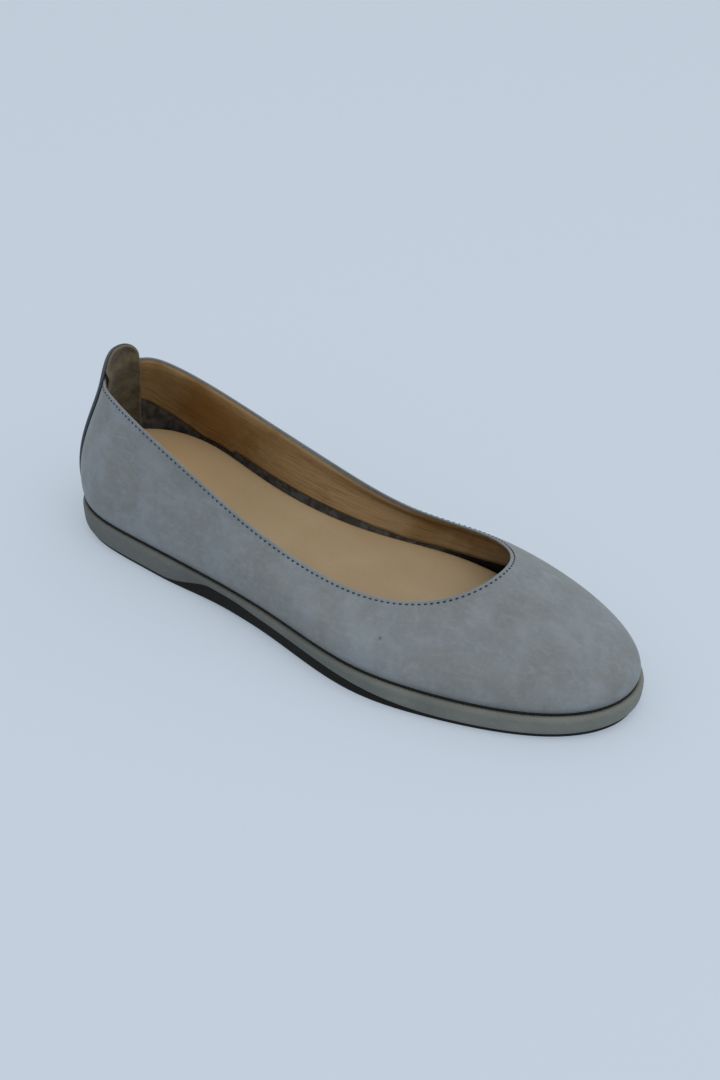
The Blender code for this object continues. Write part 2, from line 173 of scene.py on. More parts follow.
FLOOR_REACH = 6.0
FLOOR_COLOUR = paint(150, 156, 165)
FLOOR_GLOW = paint(139, 149, 159)
SKY_COLOUR = (0.95, 0.99, 1.0)
SKY_STRENGTH = 0.78
SOFTBOX_PLACE = (-0.35, -0.70, 1.90)
SOFTBOX_SIZE = 2.0
SOFTBOX_POWER = 11.0


def add_mesh(name, points, faces, finishes):
    """A mesh object at the origin from points and faces, with its list of finishes."""
    mesh = bpy.data.meshes.new(name)
    mesh.from_pydata(np.asarray(points, float).reshape(-1, 3).tolist(), [], faces)
    mesh.shade_smooth()
    for finish in finishes:
        mesh.materials.append(finish.material)
    made = bpy.data.objects.new(name, mesh)
    bpy.context.scene.collection.objects.link(made)
    return made


table_top = Finish("table_top", 0.75, FLOOR_COLOUR, Specular_IOR_Level=0.10)
table_top.set("Emission Color", FLOOR_GLOW)
table_top.set("Emission Strength", 1.0)
table_top.relief(table_top.noise(0.0009, 3.0) * 0.00003)
corners = FLOOR_REACH * np.array([[-1, -1, 0], [1, -1, 0], [1, 1, 0], [-1, 1, 0]])
floor = add_mesh("floor", corners, [[0, 1, 2, 3]], [table_top])

sky = bpy.data.worlds.new("sky")
sky.use_nodes = True
sky.node_tree.nodes["Background"].inputs["Color"].default_value = (*SKY_COLOUR, 1.0)
sky.node_tree.nodes["Background"].inputs["Strength"].default_value = SKY_STRENGTH
bpy.context.scene.world = sky
softbox = bpy.data.objects.new("softbox", bpy.data.lights.new("softbox", "AREA"))
softbox.data.size = SOFTBOX_SIZE
softbox.data.energy = SOFTBOX_POWER
softbox.location = SOFTBOX_PLACE
softbox.rotation_mode = "QUATERNION"
softbox.rotation_quaternion = (-Vector(SOFTBOX_PLACE)).to_track_quat("-Z", "Y")
bpy.context.scene.collection.objects.link(softbox)
bpy.context.scene.view_settings.view_transform = "Standard"

# Sole. One moulded rubber unit: a near-black tread set in under a convex grey-olive side band,
# which thins to a strip at the waist and ends in a low heel. Fine slanted ribs mark the band.
# The tread's near-black is partly the rubber's own colour and partly painted shade under the band.
FEATHER_LENGTH = 0.2446
BALL_WIDTH = 0.0870
HEEL_HEIGHT = 0.0120
FOREFOOT_HEIGHT = 0.0091
TOE_SPRING = 0.0008
ARCH_LIFT = 0.0016
RIM = 0.0019
HEEL_TUCK = 0.0012
TREAD_INSET = 0.0017
TREAD_LIP = 0.0018
TREAD_STEP = 0.0004
TREAD_ROUND = 0.0006
WAIST_BAND = 0.0025
WELT_WIDTH = 0.0040
SWING = 0.02
TUCK_REACH = 0.22
SOLID_AROUND = 88
AROUND = 640
BAND_ROWS = 19
BAND_LIP = 0.00022
LIP_SHARE = 0.15
RIB_PITCH = 0.00110
RIB_LENGTH = 0.0090
RIB_HEIGHT = 0.00035
RIB_LEAN = 1.3
RIB_DRIFT = 0.3
RIPPLE_PITCH = 0.0032
RIPPLE_DEPTH = 0.00035

# station: share of the length from the heel; middle and half: shares of half the ball width
FEATHER = {
    "station": (0.0555, 0.1786, 0.3327, 0.4867, 0.6408, 0.7745, 0.8765, 0.9490),
    "middle": (0.085, 0.040, -0.080, -0.098, -0.020, 0.060, 0.105, 0.120),
    "half": (0.560, 0.662, 0.625, 0.745, 0.978, 0.950, 0.800, 0.565),
}
# rise: 1 for the heel's height, 0 for the forefoot's; spring, arch, rim: shares of each;
# band: 0 where the side band reaches down to the tread's lip, 1 where it is the waist band
SOLE_HEIGHTS = {
    "station": (0.0, 0.10, 0.20, 0.26, 0.30, 0.34, 0.42, 0.50, 0.60, 0.70, 0.80, 0.90, 1.0),
    "rise": (1.0, 0.86, 0.71, 0.66, 0.65, 0.65, 0.62, 0.55, 0.46, 0.26, 0.05, 0.0, 0.0),
    "spring": (0.0, 0.0, 0.0, 0.0, 0.0, 0.0, 0.0, 0.0, 0.0, 0.0, 0.0, 0.16, 1.0),
    "band": (0.0, 0.0, 0.0, 0.13, 0.58, 1.0, 0.90, 0.79, 0.62, 0.23, 0.0, 0.0, 0.0),
    "arch": (0.0, 0.0, 0.0, 0.12, 0.48, 0.84, 1.0, 0.75, 0.27, 0.0, 0.0, 0.0, 0.0),
    "rim": (0.50, 0.70, 0.85, 0.85, 0.80, 0.75, 0.80, 0.95, 1.0, 1.0, 0.95, 0.85, 1.0),
}
# level: share of the band's height; out: share of the rim; tuck: share of the heel's tuck
SOLE_WALL = {
    "level": (0.0, 0.12, 0.32, 0.60, 0.88, 1.0),
    "out": (0.25, 0.70, 0.96, 1.0, 0.88, 0.50),
    "tuck": (1.0, 0.80, 0.55, 0.27, 0.06, 0.0),
}


def spline(knots, values, at):
    """A natural cubic spline through the knots, read at any array of places."""
    knots = np.asarray(knots, float)
    values = np.asarray(values, float)
    step = np.diff(knots)
    count = len(knots)
    matrix = np.eye(count)
    right_side = np.zeros(count)
    inner = np.arange(1, count - 1)
    matrix[inner, inner - 1] = step[:-1]
    matrix[inner, inner] = 2 * (step[:-1] + step[1:])
    matrix[inner, inner + 1] = step[1:]
    right_side[1:-1] = 6 * np.diff(np.diff(values) / step)
    bend = np.linalg.solve(matrix, right_side)
    at = np.clip(at, knots[0], knots[-1])
    k = np.clip(np.searchsorted(knots, at) - 1, 0, count - 2)
    a = knots[k + 1] - at
    b = at - knots[k]
    h = step[k]
    curved = (bend[k] * a**3 + bend[k + 1] * b**3) / (6 * h)
    level = (values[k] / h - bend[k] * h / 6) * a + (values[k + 1] / h - bend[k + 1] * h / 6) * b
    return curved + level


def mirrored_spline(knots, values, at):
    """A spline of an angle from 0 to pi that is even about both ends, so it runs smoothly on."""
    knots = np.asarray(knots, float)
    values = np.asarray(values, float)
    inner = (knots > 0) & (knots < np.pi)
    turned = values[inner][::-1]
    all_knots = [-knots[inner][::-1], knots, 2 * np.pi - knots[inner][::-1]]
    return spline(np.concatenate(all_knots), np.concatenate([turned, values, turned]), at)


def station_of(y):
    """The share of the feather line's length from the heel, at a place along the shoe."""
    return (FEATHER_LENGTH / 2 - y) / FEATHER_LENGTH


def column(table, name, at):
    """A column of a table by station: a spline of the angle whose cosine runs heel to toe."""
    knots = np.arccos(1 - 2 * np.asarray(table["station"]))
    return mirrored_spline(knots, table[name], np.arccos(1 - 2 * np.clip(at, 0, 1)))


def share_along(name, y):
    """A share column of the sole's heights, level at 0 and 1 in spite of the spline's swing."""
    share = column(SOLE_HEIGHTS, name, station_of(y))
    return np.clip((share - SWING) / (1 - 2 * SWING), 0, 1)


def sole_top(y):
    """Forefoot height, plus its share of the heel's extra height, plus its share of toe spring."""
    rise = column(SOLE_HEIGHTS, "rise", station_of(y))
    spring = column(SOLE_HEIGHTS, "spring", station_of(y))
    return FOREFOOT_HEIGHT + (HEEL_HEIGHT - FOREFOOT_HEIGHT) * rise + TOE_SPRING * spring


def fold_of(angle):
    """The angle round the outline folded into 0 at the heel to pi at the toe."""
    return np.abs((angle + np.pi) % (2 * np.pi) - np.pi)


def side_of(angle):
    """-1 along the outer side of the foot and 1 along the inner side."""
    return np.where(np.sin(angle) > 0, -1.0, 1.0)


def push_out(x, y, out):
    """Moves a closed outline along its own normals in the plan."""
    dx = np.roll(x, -1) - np.roll(x, 1)
    dy = np.roll(y, -1) - np.roll(y, 1)
    length = np.hypot(dx, dy)
    return x + out * dy / length, y - out * dx / length


def feather_line(angle, out=0.0):
    """Where upper and sole meet: a middle line plus or minus a half width, by angle."""
    fold = fold_of(angle)
    knots = np.arccos(1 - 2 * np.asarray(FEATHER["station"]))
    fullness = np.asarray(FEATHER["half"]) / np.sin(knots)
    half = BALL_WIDTH / 2 * mirrored_spline(knots, fullness, fold) * np.sin(fold)
    middle = BALL_WIDTH / 2 * mirrored_spline(knots, FEATHER["middle"], fold)
    return push_out(middle + side_of(angle) * half, FEATHER_LENGTH / 2 * np.cos(fold), out)


def full_turn(count):
    """Angles round the outline, even about the heel and the toe."""
    return np.linspace(0, 2 * np.pi, count, endpoint=False)


solid_line = np.array(feather_line(full_turn(SOLID_AROUND)))
welt_box = np.array(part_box("welt"))
ROW_SHIFT = np.zeros(3)
ROW_SHIFT[:2] = (welt_box.mean(axis=0)[:2]) - (solid_line.min(axis=1) + solid_line.max(axis=1)) / 2


def ring_faces(rings, count, joined):
    """Quads between neighbouring rings of points; joined closes the last ring on the first."""
    ring = np.arange(rings if joined else rings - 1)[:, None]
    k = np.arange(count)[None, :]
    below = ring * count
    above = (ring + 1) % rings * count
    step = (k + 1) % count
    return np.stack([below + k, below + step, above + step, above + k], -1).reshape(-1, 4)


def ladder(first, count, flip):
    """Faces across a ring whose points pair up from side to side, with a point at each end."""
    k = np.arange(1, count // 2 - 1)
    rungs = np.stack([first + k, first + k + 1, first + count - k - 1, first + count - k], -1)
    half = first + count // 2
    faces = rungs.tolist() + [[first, first + 1, first + count - 1], [half, half + 1, half - 1]]
    return [face[::-1] for face in faces] if flip else faces


def ring_mesh(name, rings, finishes, joined=False, slots=None, marks=None):
    """A mesh of rings of points, one above the other.

    It is capped at both ends by ladders, or joined into a tube. Its UV map is in metres: the
    length round the widest ring, and the length up the section through the first column.
    """
    rings = np.asarray(rings, float)
    rows, count = rings.shape[:2]
    quads = ring_faces(rows, count, joined)
    faces = quads.tolist()
    if not joined:
        faces += ladder(0, count, True) + ladder((rows - 1) * count, count, False)
    made = add_mesh(name, rings + ROW_SHIFT, faces, finishes)
    steps = np.linalg.norm(np.diff(rings[rows // 2], axis=0, append=rings[rows // 2][:1]), axis=1)
    round_it = np.concatenate([[0], np.cumsum(steps)])
    climbs = np.linalg.norm(np.diff(rings, axis=0, append=rings[:1]), axis=2).mean(axis=1)
    up_it = np.concatenate([[0], np.cumsum(climbs)])
    row = np.repeat(np.arange(len(quads) // count), count)
    k = np.tile(np.arange(count), len(quads) // count)
    across = round_it[np.stack([k, k + 1, k + 1, k], -1)]
    upwards = up_it[np.stack([row, row, row + 1, row + 1], -1)]
    flat = np.zeros((len(made.data.loops), 2))
    flat[: quads.size] = np.stack([across, upwards], -1).reshape(-1, 2)
    made.data.uv_layers.new(name="section").data.foreach_set("uv", flat.ravel())
    if slots is not None:
        face_slots = np.zeros(len(made.data.polygons), int)
        face_slots[: len(quads)] = np.repeat(slots[: len(quads) // count], count)
        face_slots[len(quads) : len(quads) + count // 2] = slots[0]
        made.data.polygons.foreach_set("material_index", face_slots)
    for key, values in (marks or {}).items():
        layer = made.data.attributes.new(key, "FLOAT", "POINT")
        spread = np.broadcast_to(values, (rows, count))
        layer.data.foreach_set("value", np.ascontiguousarray(spread, dtype=np.float32).ravel())
    return made


def sole_ring(angle, out, height):
    """A ring of the sole: moved out from the feather line, at a height for each angle."""
    x, y = feather_line(angle, out)
    return np.stack([x, y, height], -1)


band_rubber = Finish("band_rubber", 0.62, Specular_IOR_Level=0.40)
shade = band_rubber.noise(0.030, 2.0)
along = band_rubber.mark("station")
to_toe = band_rubber.between(along, 0.25, 1.0)
paler = band_rubber.mix(to_toe, paint(92, 95, 92), paint(116, 118, 112))
darker = band_rubber.mix(to_toe, paint(80, 83, 82), paint(101, 104, 99))
dust = band_rubber.between(band_rubber.noise(0.0022, 4.0, 0.65), 0.52, 0.78) * 0.22
tone = band_rubber.mix(band_rubber.between(shade, 0.35, 0.65), darker, paler)
band_rubber.set("Base Color", band_rubber.mix(dust, tone, paint(138, 140, 136)))
flat_place = band_rubber.node("ShaderNodeUVMap", {"uv_map": "section"}, {})
round_place = band_rubber.node("ShaderNodeSeparateXYZ", {}, [flat_place], 0)
climb_place = band_rubber.node("ShaderNodeSeparateXYZ", {}, [flat_place], 1)
across_ribs = (round_place + climb_place * RIB_LEAN) / RIB_PITCH
along_ribs = (climb_place - round_place * RIB_DRIFT) / RIB_LENGTH
rib_place = band_rubber.node("ShaderNodeCombineXYZ", {}, [across_ribs, along_ribs])
ribs_wave = band_rubber.noise(1.0, 2.0, 0.5, rib_place, 0.4)
rib_strength = band_rubber.between(along, 0.45, 0.95) * 0.75 + 0.25
grain = band_rubber.noise(0.0006, 2.0) * 0.00004
band_rubber.relief(ribs_wave * rib_strength * RIB_HEIGHT + grain)

# Near-black tread: partly the rubber's own dark colour, partly painted shade in the gap under the band
# and the arch.
tread_rubber_and_shade = Finish("tread_rubber_and_shade", 0.70, Specular_IOR_Level=0.15)
scuffs = tread_rubber_and_shade.between(tread_rubber_and_shade.noise(0.0035, 4.0, 0.6), 0.50, 0.75)
tread_rubber_and_shade.set("Base Color", tread_rubber_and_shade.mix(scuffs * 0.5, paint(22, 21, 17), paint(36, 35, 30)))
ripple_turn = tread_rubber_and_shade.place_y() * (2 * np.pi / RIPPLE_PITCH)
ripple = tread_rubber_and_shade.node("ShaderNodeMath", {"operation": "SINE"}, [ripple_turn])
inside_tread = tread_rubber_and_shade.mark("underside")
ridges = tread_rubber_and_shade.between(ripple, -0.3, 0.5) * inside_tread * RIPPLE_DEPTH
tread_rubber_and_shade.relief(ridges + tread_rubber_and_shade.noise(0.0008, 2.0) * 0.00005)

angle = full_turn(AROUND)
line_y = feather_line(angle)[1]
top_height = sole_top(line_y)
spring_lift = TOE_SPRING * share_along("spring", line_y)
under_height = ARCH_LIFT * share_along("arch", line_y) + spring_lift
lip_height = TREAD_LIP + spring_lift
band_low = lip_height + (top_height - WAIST_BAND - lip_height) * share_along("band", line_y)
rim = RIM * share_along("rim", line_y)
tuck = HEEL_TUCK * np.clip(1 - station_of(line_y) / TUCK_REACH, 0, 1)
tread = rim - TREAD_INSET - tuck
sole_rings = [
    sole_ring(angle, tread - 2 * TREAD_INSET, under_height),
    sole_ring(angle, tread - TREAD_ROUND, under_height),
    sole_ring(angle, tread - 0.3 * TREAD_ROUND, under_height + 0.3 * TREAD_ROUND),
    sole_ring(angle, tread, under_height + TREAD_ROUND),
    sole_ring(angle, tread + TREAD_STEP / 2, band_low - 2 * TREAD_STEP),
    sole_ring(angle, tread + TREAD_STEP, band_low - TREAD_STEP / 4),
]
tread_rows = len(sole_rings)
for level in np.linspace(0, 1, BAND_ROWS):
    out = spline(SOLE_WALL["level"], SOLE_WALL["out"], level)
    tucked = spline(SOLE_WALL["level"], SOLE_WALL["tuck"], level)
    height = band_low + (top_height + BAND_LIP - band_low) * level
    sole_rings.append(sole_ring(angle, rim * out - tuck * tucked, height))
sole_rings.append(sole_ring(angle, rim * LIP_SHARE, top_height + BAND_LIP))
sole_rings.append(sole_ring(angle, -WELT_WIDTH, top_height))
sole_slots = np.array([1] * tread_rows + [0] * (len(sole_rings) - tread_rows))
under_mark = np.zeros((len(sole_rings), 1))
under_mark[0] = 1.0
sole_marks = {"station": station_of(line_y)[None, :], "underside": under_mark}
sole_unit = ring_mesh(
    "sole_unit", sole_rings, [band_rubber, tread_rubber_and_shade], False, sole_slots, sole_marks
)
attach(sole_unit, "root")
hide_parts("outsole")

# Welt. A thin strip of board, cemented between sole and upper; only its edge shows, as a crisp
# black line all round. Its near-black is painted shade for the dark groove where upper meets sole.
GAP = 0.0003
WELT_THICKNESS = 0.0010
WELT_ROUND = 0.00022

# Painted shade: the welt's near-black stands for the shaded groove between upper and sole, mottled a
# little.
welt_painted_shade = Finish("welt_painted_shade", 0.65, Specular_IOR_Level=0.25)
welt_mottle = welt_painted_shade.between(welt_painted_shade.noise(0.0050, 3.0), 0.45, 0.70)
welt_painted_shade.set("Base Color", welt_painted_shade.mix(welt_mottle, paint(13, 13, 14), paint(22, 22, 23)))
welt_painted_shade.relief(welt_painted_shade.noise(0.0007, 2.0) * 0.00003)

welt_base = top_height + GAP
welt_section = (
    (-WELT_WIDTH, 0.0),
    (-WELT_ROUND, 0.0),
    (0.0, WELT_ROUND),
    (0.0, WELT_THICKNESS - WELT_ROUND),
    (-WELT_ROUND, WELT_THICKNESS),
    (-WELT_WIDTH, WELT_THICKNESS),
)
welt_rings = [sole_ring(angle, out, welt_base + climb) for out, climb in welt_section]
welt_strip = ring_mesh("welt_strip", welt_rings, [welt_painted_shade], True)
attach(welt_strip, "root")
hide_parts("welt")

# Upper. One piece of light grey nubuck, folded in at the topline and lasted round over the
# footbed. Its nap lies in soft cloudy patches; inside, below the lining, its back is dark cloth,
# whose colour is partly its own and partly painted shade deep inside the shoe.
WALL = 0.0017
BACK_RISE = 0.0494
SIDE_RISE = 0.0217
THROAT_RISE = 0.0334
VAMP_LENGTH = 0.0545
BACK_LEAN = 0.0052
COLLAR_WIDTH = 0.0620
EDGE_ROUND = 0.0005
UPPER_SEAT = GAP + WELT_THICKNESS + GAP
RIB_STEPS = 160
EDGE_STEPS = 10
OUTER_ROWS = 40
INNER_ROWS = 24
FOLDED_ROWS = 7
FAR_ABOVE = 0.05
STITCH_DROP = 0.00095
GROOVE_DEPTH = 0.00008
GROOVE_WIDTH = 0.00035
FOLD_PUFF = 0.00003
SKIVE = 0.0009
SKIVE_REACH = 0.0032
SEAT_TUCK = 0.00025
SEAT_REACH = 0.0007
SEAT_DROP = 0.00026
DROP_REACH = 0.0030

# way: share of half a turn from the back to the throat; middle and half: shares of half the
# collar width
TOPLINE = {
    "way": (0.125, 0.1875, 0.25, 0.375, 0.50, 0.625, 0.75, 0.875),
    "middle": (0.165, 0.130, 0.090, 0.045, 0.040, 0.073, 0.177, 0.105),
    "half": (0.435, 0.570, 0.675, 0.790, 0.895, 0.994, 0.995, 0.563),
}
# back and throat: shares of the rise at the back and at the throat, on either side of the foot
TOPLINE_RISE = {
    "way": (0.0, 0.125, 0.25, 0.375, 0.50, 0.625, 0.75, 0.875, 1.0),
    "outer_back": (1.0, 1.01, 0.967, 0.655, 0.240, 0.01, 0.0, 0.0, 0.0),
    "inner_back": (1.0, 1.09, 0.975, 0.695, 0.305, 0.00, 0.0, 0.0, 0.0),
    "outer_throat": (0.0, 0.0, 0.0, 0.0, 0.0, 0.0, 0.07, 0.60, 1.0),
    "inner_throat": (0.0, 0.0, 0.0, 0.0, 0.0, 0.0, -0.07, 0.62, 1.0),
}
# low_rise and low_out: a rib's lower handle; high_drop and high_out: its upper handle
RIBS = {
    "way": (0.0, 0.125, 0.25, 0.375, 0.50, 0.625, 0.75, 0.875, 1.0),
    "low_rise": (0.34, 0.34, 0.34, 0.32, 0.26, 0.22, 0.22, 0.23, 0.25),
    "low_out": (0.125, 0.115, 0.085, 0.050, 0.030, 0.035, 0.050, 0.065, 0.070),
    "high_drop": (0.30, 0.30, 0.30, 0.30, 0.22, 0.15, 0.12, 0.14, 0.16),
    "high_out": (0.060, 0.062, 0.060, 0.040, 0.070, 0.150, 0.240, 0.320, 0.380),
}


def topline(angle):
    """The upper edge of the upper: middle plus or minus half width, over the sole's top."""
    fold = fold_of(angle)
    knots = np.pi * np.asarray(TOPLINE["way"])
    fullness = np.asarray(TOPLINE["half"]) / np.sin(knots)
    half = COLLAR_WIDTH / 2 * mirrored_spline(knots, fullness, fold) * np.sin(fold)
    middle = COLLAR_WIDTH / 2 * mirrored_spline(knots, TOPLINE["middle"], fold)
    back_end = FEATHER_LENGTH / 2 - BACK_LEAN
    throat_end = -FEATHER_LENGTH / 2 + VAMP_LENGTH
    y = (back_end + throat_end) / 2 + (back_end - throat_end) / 2 * np.cos(fold)
    ways = np.pi * np.asarray(TOPLINE_RISE["way"])

    def rise(name):
        outer = mirrored_spline(ways, TOPLINE_RISE["outer_" + name], fold)
        inner = mirrored_spline(ways, TOPLINE_RISE["inner_" + name], fold)
        return np.where(side_of(angle) < 0, outer, inner)

    z = sole_top(y) + SIDE_RISE
    z = z + (BACK_RISE - SIDE_RISE) * rise("back") + (THROAT_RISE - SIDE_RISE) * rise("throat")
    return np.stack([middle + side_of(angle) * half, y, z], -1)


def unit(vectors):
    return vectors / np.linalg.norm(vectors, axis=-1, keepdims=True)


def rib_handles(angle):
    """The four control points of each rib of the upper, from feather line to topline."""
    ways = np.pi * np.asarray(RIBS["way"])
    x, y = feather_line(angle)
    low = np.stack([x, y, sole_top(y) + UPPER_SEAT], -1)
    high = topline(angle)
    upright = np.array([0.0, 0.0, 1.0])

    def share(name):
        return BACK_RISE * mirrored_spline(ways, RIBS[name], fold_of(angle))[:, None]

    def outward(points):
        x, y = push_out(points[:, 0], points[:, 1], 1.0)
        return np.stack([x - points[:, 0], y - points[:, 1], np.zeros_like(x)], -1)

    low_handle = low + share("low_rise") * upright + share("low_out") * outward(low)
    high_handle = high - share("high_drop") * upright + share("high_out") * outward(high)
    return low, low_handle, high_handle, high


def upper_face(angle, shares):
    """The outer face of the upper, its slope up the ribs and its normals.

    Each rib is a cubic curve on its four handles, read at shares: a row for each ring.
    """
    a, b, c, d = rib_handles(angle)
    t = np.broadcast_to(shares, (len(shares), len(angle)))[..., None]
    face = a * (1 - t) ** 3 + 3 * b * t * (1 - t) ** 2 + 3 * c * t**2 * (1 - t) + d * t**3
    slope = unit((b - a) * (1 - t) ** 2 + 2 * (c - b) * t * (1 - t) + (d - c) * t**2)
    forwards = np.roll(face, -1, axis=1) - np.roll(face, 1, axis=1)
    return face, slope, unit(np.cross(forwards, slope))


def crossing(rising, wanted):
    """Where each column of a table that rises row by row passes the wanted numbers."""
    k = np.clip((rising[:, None, :] <= wanted[None]).sum(axis=0) - 1, 0, len(rising) - 2)
    low = np.take_along_axis(rising, k, 0)
    high = np.take_along_axis(rising, k + 1, 0)
    return k + (wanted - low) / (high - low)


def read_at(table, row):
    """A table of points read at fractional rows of each of its columns."""
    k = np.clip(np.floor(row).astype(int), 0, len(table) - 2)
    low = np.take_along_axis(table, k[..., None], 0)
    high = np.take_along_axis(table, k[..., None] + 1, 0)
    return low + (row - k)[..., None] * (high - low)


def rib_lengths(angle):
    """Lengths down each rib from the topline, at even shares from 1 to 0."""
    shares = np.linspace(1, 0, RIB_STEPS + 1)[:, None]
    face = upper_face(angle, shares)[0]
    steps = np.linalg.norm(np.diff(face, axis=0), axis=2)
    return np.concatenate([np.zeros((1, len(angle))), np.cumsum(steps, axis=0)])


def shares_below(angle, below):
    """The ribs' shares at distances below the topline."""
    wanted = np.broadcast_to(below, (len(below), len(angle)))
    return 1 - crossing(rib_lengths(angle), wanted) / RIB_STEPS


def trough(points, start, end, width, depth):
    """A soft crease: a bell across the line from start to end, fading at both of its ends."""
    start = np.array(start)
    line = np.array(end) - start
    share = np.clip(((points - start) @ line) / (line @ line), 0, 1)
    apart = np.linalg.norm(points - start - share[..., None] * line, axis=-1)
    return depth * np.exp(-((apart / width) ** 2)) * np.sin(np.pi * (0.12 + 0.76 * share))


# The main creases, each from a point to a point of the outer face, with its width and depth
CREASES = (
    ((-0.034, -0.052, 0.024), (-0.012, -0.060, 0.040), 0.0035, 0.00030),
    ((0.030, -0.046, 0.024), (0.020, -0.060, 0.038), 0.0035, 0.00030),
    ((-0.012, -0.104, 0.024), (-0.004, -0.113, 0.018), 0.0016, 0.00022),
    ((-0.004, -0.106, 0.024), (0.005, -0.115, 0.017), 0.0014, 0.00020),
    ((-0.022, -0.098, 0.022), (-0.016, -0.106, 0.016), 0.0018, 0.00020),
    ((-0.031, 0.030, 0.030), (-0.026, 0.062, 0.024), 0.0060, 0.00035),
    ((0.026, 0.026, 0.030), (0.024, 0.058, 0.026), 0.0060, 0.00035),
    ((-0.030, 0.010, 0.020), (-0.034, -0.022, 0.020), 0.0050, -0.00030),
)

WARM_GREY = paint(119, 123, 123)
COOL_GREY = paint(127, 133, 139)
DEEP_GREY = paint(108, 111, 112)
RUBBED_GREY = paint(145, 153, 161)


def nubuck_finish(name):
    """Brushed nubuck: wide cool and warm clouds, smaller deep patches and pale rubbed marks."""
    made = Finish(name, 0.88, Specular_IOR_Level=0.22, Sheen_Weight=0.18, Sheen_Roughness=0.45)
    made.set("Sheen Tint", (0.85, 0.92, 1.0))
    clouds = made.between(made.noise(0.028, 3.0, 0.55, warp=0.4), 0.38, 0.64)
    patches = made.between(made.noise(0.0085, 3.0, 0.60, warp=0.5), 0.34, 0.68)
    rubs = made.between(made.noise(0.0060, 5.0, 0.68, warp=2.2), 0.54, 0.70)
    strokes = made.between(made.noise(0.0022, 3.0, 0.60), 0.40, 0.66)
    turned = {"Vector": made.place(), "Scale": (1, 0.3, 1)}
    lengthwise = made.node("ShaderNodeMapping", {"vector_type": "POINT"}, turned)
    brushed = made.between(made.noise(0.0026, 4.0, 0.65, lengthwise, 1.2), 0.46, 0.72)
    skin = made.mix(clouds, WARM_GREY, COOL_GREY)
    skin = made.mix((1 - patches) * 0.42, skin, DEEP_GREY)
    skin = made.mix(rubs * 0.19 + strokes * 0.10 + brushed * 0.20, skin, RUBBED_GREY)
    nap = made.noise(0.0011, 4.0, 0.70) * 0.00010
    made.relief(nap + made.noise(0.0060, 2.0) * 0.00018)
    return made, skin


nubuck, skin = nubuck_finish("nubuck")
below_top = nubuck.mark("below")
above_seat = nubuck.mark("above")
fold_share = nubuck.between(below_top, 0.0012, 0.0002)
skin = nubuck.mix(fold_share * 0.30, skin, paint(118, 124, 128))
SPECK = (-0.0380, -0.0427, 0.0238)
speck = nubuck.between(nubuck.distance(SPECK), 0.0009, 0.0003)
skin = nubuck.mix(speck * 0.6, skin, paint(70, 74, 80))
# Darker along the bottom of the upper, over the welt: partly dirt, partly painted shade where upper
# meets sole.
seat_dirt_and_shade = nubuck.between(above_seat, 0.0030, 0.0003) * 0.35
skin = nubuck.mix(seat_dirt_and_shade, skin, paint(82, 85, 86))
nubuck.set("Base Color", skin)

# The inner wall's dark cloth: partly the cloth's own colour, partly painted shade deep inside the shoe.
dark_cloth_and_shade = Finish("dark_cloth_and_shade", 0.95, Specular_IOR_Level=0.15)
threads = dark_cloth_and_shade.between(dark_cloth_and_shade.noise(0.0030, 3.0), 0.35, 0.65)
cloth = dark_cloth_and_shade.mix(threads, paint(58, 54, 50), paint(84, 81, 78))
# Painted shade: near-black under the vamp, towards the toe.
vamp_painted_shade = dark_cloth_and_shade.between(dark_cloth_and_shade.place_y(), -0.015, -0.035)
cloth = dark_cloth_and_shade.mix(vamp_painted_shade, cloth, paint(26, 21, 16))
dark_cloth_and_shade.set("Base Color", cloth)
dark_cloth_and_shade.relief(dark_cloth_and_shade.noise(0.0006, 2.0) * 0.00006)

# Rows of the upper in millimetres below the topline: at the fold, past the stitches and inside
near_edge = np.array([0, 0.12, 0.25, 0.38, 0.5, 0.6, 0.7, 0.78, 0.86, 0.95]) / 1000
past_stitch = np.array([1.04, 1.12, 1.2, 1.3, 1.45, 1.65, 1.9, 2.3, 3.0, 4.0]) / 1000
inner_edge = np.array([0, 0.3, 0.7, 1.1, 1.5, 1.9, 2.3, 2.8])[:, None] / 1000

rib_end = rib_lengths(angle)[-1]
plain_rows = np.linspace(0, 1, OUTER_ROWS)[1:, None] ** 0.95
edge_rows = np.concatenate([near_edge, past_stitch])[:, None]
start_row = edge_rows[-1]
lower_rows = start_row + (rib_end - start_row) * plain_rows
below_outer = np.concatenate([np.broadcast_to(edge_rows, (len(edge_rows), AROUND)), lower_rows])[::-1]
outer_face, outer_slope, outer_normal = upper_face(angle, shares_below(angle, below_outer))
puff = FOLD_PUFF * np.sin(np.pi * np.clip(below_outer / (STITCH_DROP - GROOVE_WIDTH / 2), 0, 1))
groove = GROOVE_DEPTH * np.exp(-(((below_outer - STITCH_DROP) / GROOVE_WIDTH) ** 2))
seat = SEAT_TUCK * np.exp(-(((rib_end - below_outer) / SEAT_REACH) ** 2))
raised = puff - groove - seat
for start, end, width, depth in CREASES:
    raised = raised - trough(outer_face + ROW_SHIFT, start, end, width, depth)
outer_rings = outer_face + raised[..., None] * outer_normal
outer_rings[..., 2] -= SEAT_DROP * np.exp(-(((rib_end - below_outer) / DROP_REACH) ** 2))


def wall_at(below):
    """The wall's thickness: skived thinner from SKIVE_REACH below the topline up to the fold."""
    share = np.clip(1 - below / SKIVE_REACH, 0, 1)
    return WALL - SKIVE * share**2 * (3 - 2 * share)


